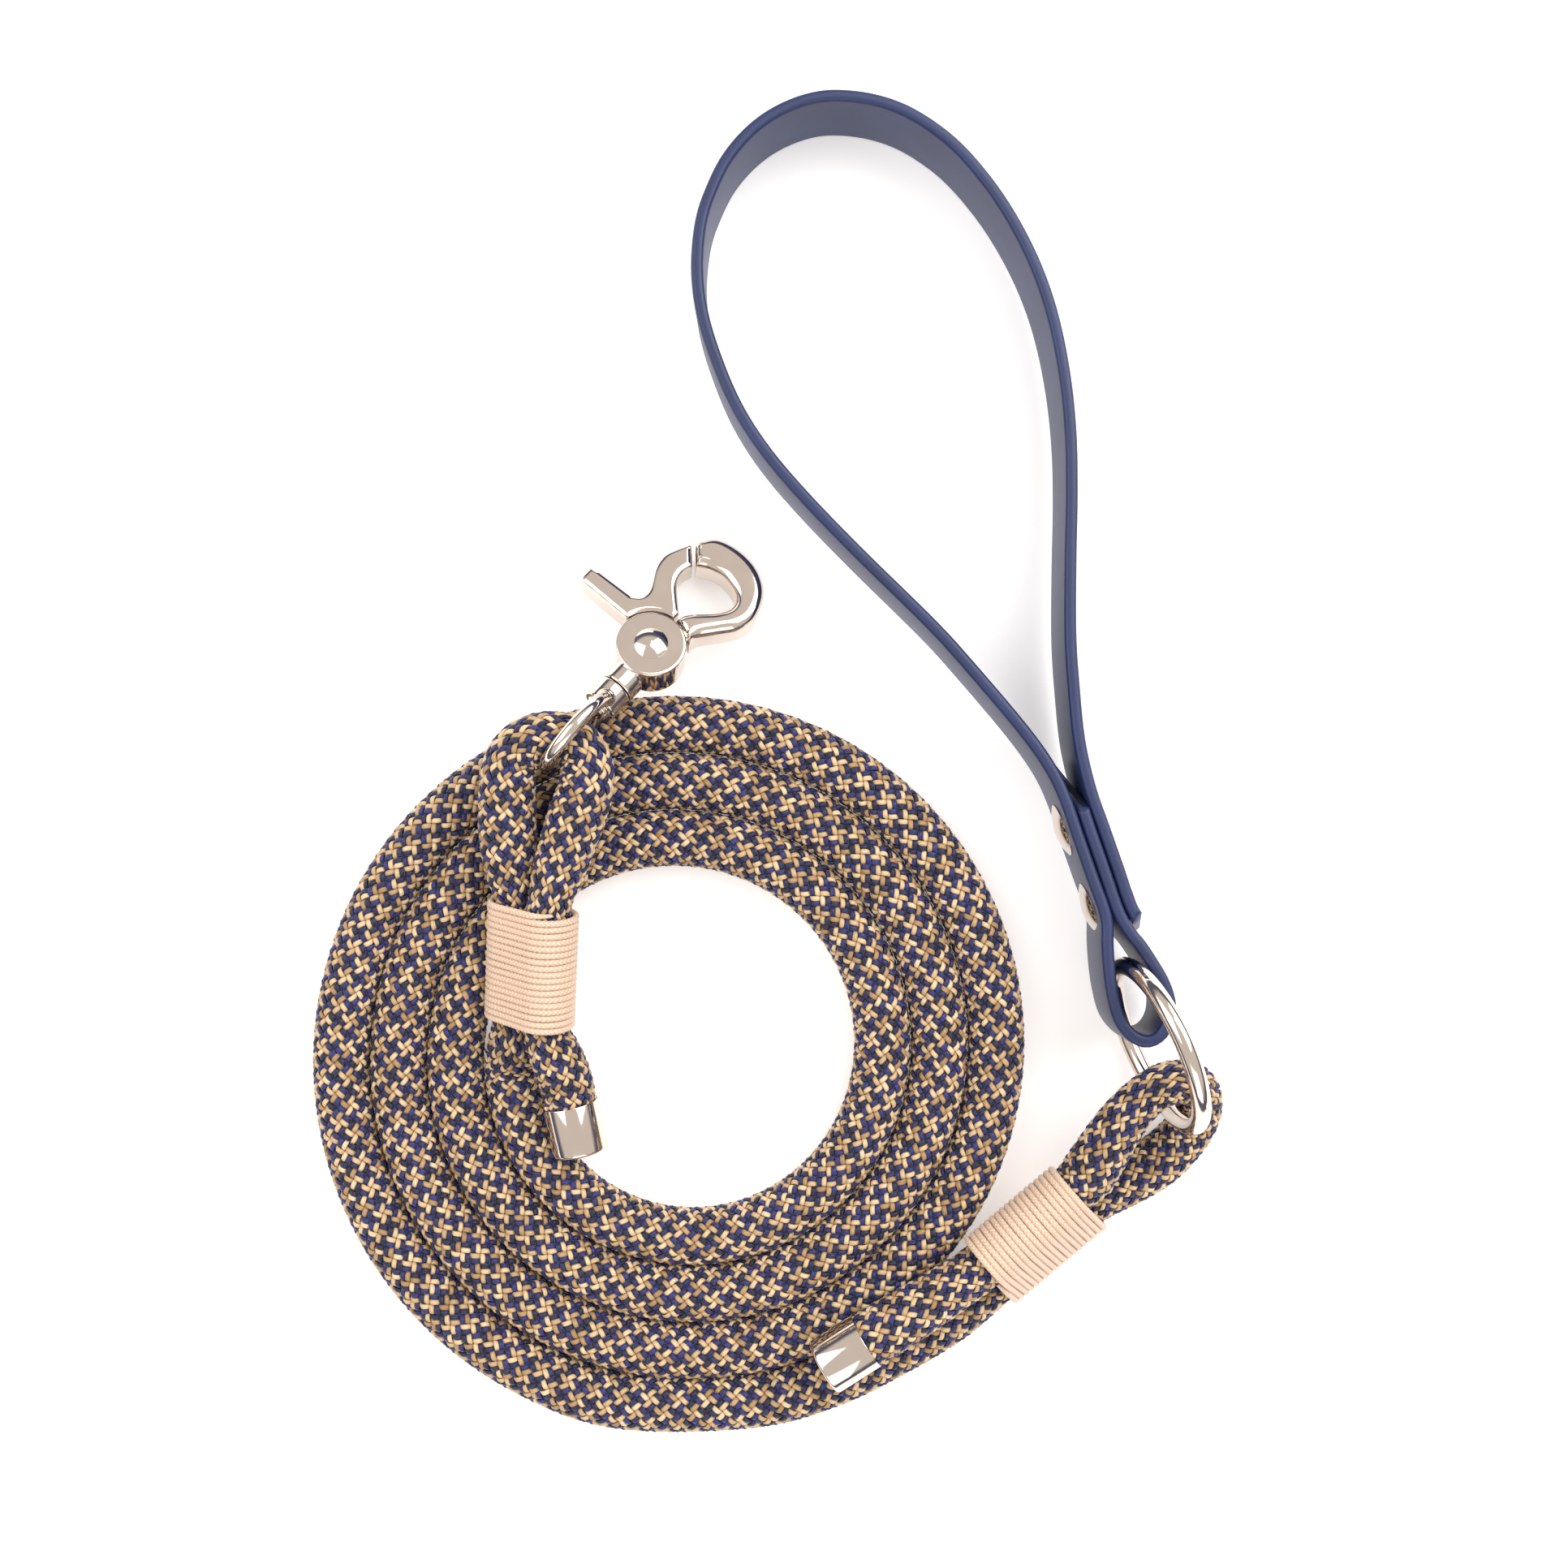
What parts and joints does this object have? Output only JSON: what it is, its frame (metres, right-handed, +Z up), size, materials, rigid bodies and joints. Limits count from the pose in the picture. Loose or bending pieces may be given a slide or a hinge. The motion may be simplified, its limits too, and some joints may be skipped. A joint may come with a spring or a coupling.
{
  "type": "rope dog lead",
  "caption": "Braided rope dog lead, coiled, with a swivel trigger snap at one end and a steel ring with a riveted coated webbing handle at the other",
  "frame": {"origin": "middle of the footprint of the hard parts (snap, ring and handle), on the plane that the lead lies on", "axes": "+Z up out of that plane; +Y from the coil towards the handle's far end; +X to the side where the ring is"},
  "size_m": [0.1879, 0.272, 0.0378],
  "materials": {
    "rope": "braided navy and tan polyester",
    "whipping": "pale braided whipping cord",
    "nickel": "polished nickel plate",
    "steel": "polished stainless steel",
    "dark_spring": "plain spring steel",
    "coating": "matt navy coating with a fine grain",
    "webbing": "black woven polyester"
  },
  "bodies": {
    "rope": {"rope_coil": "rope", "rope_snap_end": "rope", "rope_ring_end": "rope", "snap_whipping": "whipping", "ring_whipping": "whipping", "snap_end_cap": "nickel", "ring_end_cap": "nickel"},
    "eye": {"swivel_eye": "nickel"},
    "snap": {"snap_body": "nickel", "swivel_post": "nickel", "trigger_rivet": "nickel", "trigger_spring": "dark_spring"},
    "trigger": {"trigger_lever": "nickel"},
    "ring": {"o_ring": "steel"},
    "handle": {"handle_strap": "coating", "strap_core": "webbing", "rivet_posts": "nickel", "rivet_caps": "nickel"}
  },
  "joints": [
    {"name": "snap_lift", "type": "hinge", "parent": "rope", "child": "eye", "pos_m": [-0.0597, -0.0255, 0.022], "axis": [0.7547, -0.6561, 0], "range_deg": [0, 60]},
    {"name": "snap_swivel", "type": "hinge", "parent": "eye", "child": "snap", "pos_m": [-0.0523, -0.01699, 0.0179], "axis": [0.6165, 0.7092, -0.342], "range_deg": [-112, 180]},
    {"name": "trigger_pull", "type": "hinge", "parent": "snap", "child": "trigger", "pos_m": [-0.04429, -0.00777, 0.01345], "axis": [0.0899, 0.3681, 0.9254], "range_deg": [0, 28], "stiffness_Nm_per_rad": 0.05, "springref_deg": -28.65},
    {"name": "ring_lift", "type": "hinge", "parent": "rope", "child": "ring", "pos_m": [0.0603, -0.0946, 0.01715], "axis": [0.9603, 0.2354, -0.1494], "range_deg": [0, 45]},
    {"name": "handle_swing", "type": "hinge", "parent": "ring", "child": "handle", "pos_m": [0.05123, -0.07109, 0.01879], "axis": [0.1455, 0.0573, 0.9877], "range_deg": [-10, 2]}
  ]
}
